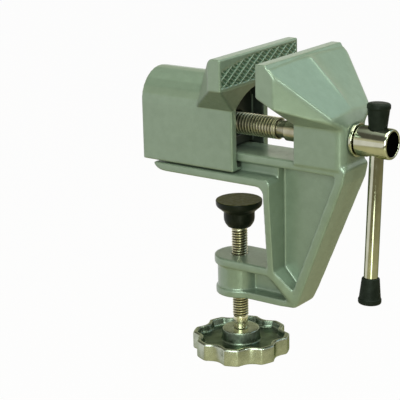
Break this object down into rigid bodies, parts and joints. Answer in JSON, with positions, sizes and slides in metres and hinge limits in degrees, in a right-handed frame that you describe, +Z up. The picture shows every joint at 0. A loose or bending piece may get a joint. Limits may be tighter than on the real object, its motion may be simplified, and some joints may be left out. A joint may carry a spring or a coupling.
{
  "type": "hobby bench vise",
  "caption": "Small painted bench vise that clamps to a table edge: wide cross-hatched jaws on a rail, lead screw with sliding bar handle, C-frame with clamp screw, pad and lobed handwheel.",
  "frame": {"origin": "on the clamp screw's axis, in the underside of the table plate, which rests on the table top", "axes": "+X along the lead screw from the moving jaw to the handle, +Y across the jaws to the rear, +Z up out of the table"},
  "size_m": [0.0991, 0.05, 0.1171],
  "materials": {
    "paint": "metallic grey-green enamel, semi-gloss",
    "steel": "zinc-plated, slightly yellowed",
    "chrome_plate": "bright plated",
    "wheel_alloy": "die-cast, satin",
    "rubber": "dull black",
    "black_plastic": "moulded black"
  },
  "bodies": {
    "frame": {"frame_casting": "paint"},
    "jaw": {"moving_jaw": "paint", "jaw_nut": "steel"},
    "screw": {"lead_screw": "steel", "clip_washer": "steel", "retaining_clip": "steel", "thrust_washer": "chrome_plate", "screw_head": "chrome_plate", "screw_head_plug": "black_plastic"},
    "handle": {"tommy_bar": "chrome_plate", "tommy_bar_cap_upper": "rubber", "tommy_bar_cap_lower": "rubber"},
    "pad": {"clamp_pad": "black_plastic"},
    "clamp": {"clamp_screw": "steel", "clamp_handwheel": "wheel_alloy", "handwheel_nut": "steel"}
  },
  "joints": [
    {"name": "screw_turn", "type": "hinge", "parent": "frame", "child": "screw", "pos_m": [0.0578, 0, 0.0193], "axis": [1, 0, 0], "range_deg": [-4030, 6500]},
    {"name": "jaw_slide", "type": "slide", "parent": "frame", "child": "jaw", "axis": [-1, 0, 0], "range_m": [-0.014, 0.0226]},
    {"name": "handle_slide", "type": "slide", "parent": "screw", "child": "handle", "axis": [0, 0.0698, 0.9976], "range_m": [0, 0.0438]},
    {"name": "pad_lift", "type": "slide", "parent": "frame", "child": "pad", "axis": [0, 0, 1], "range_m": [-0.01, 0.0096]},
    {"name": "clamp_turn", "type": "hinge", "parent": "pad", "child": "clamp", "pos_m": [0, 0, -0.06], "axis": [0, 0, 1], "range_deg": [-3600, 3450]}
  ],
  "couplings": [
    {"joint": "jaw_slide", "follows": "screw_turn", "m_per_rad": 0.00019894},
    {"joint": "pad_lift", "follows": "clamp_turn", "m_per_rad": 0.00015915}
  ]
}
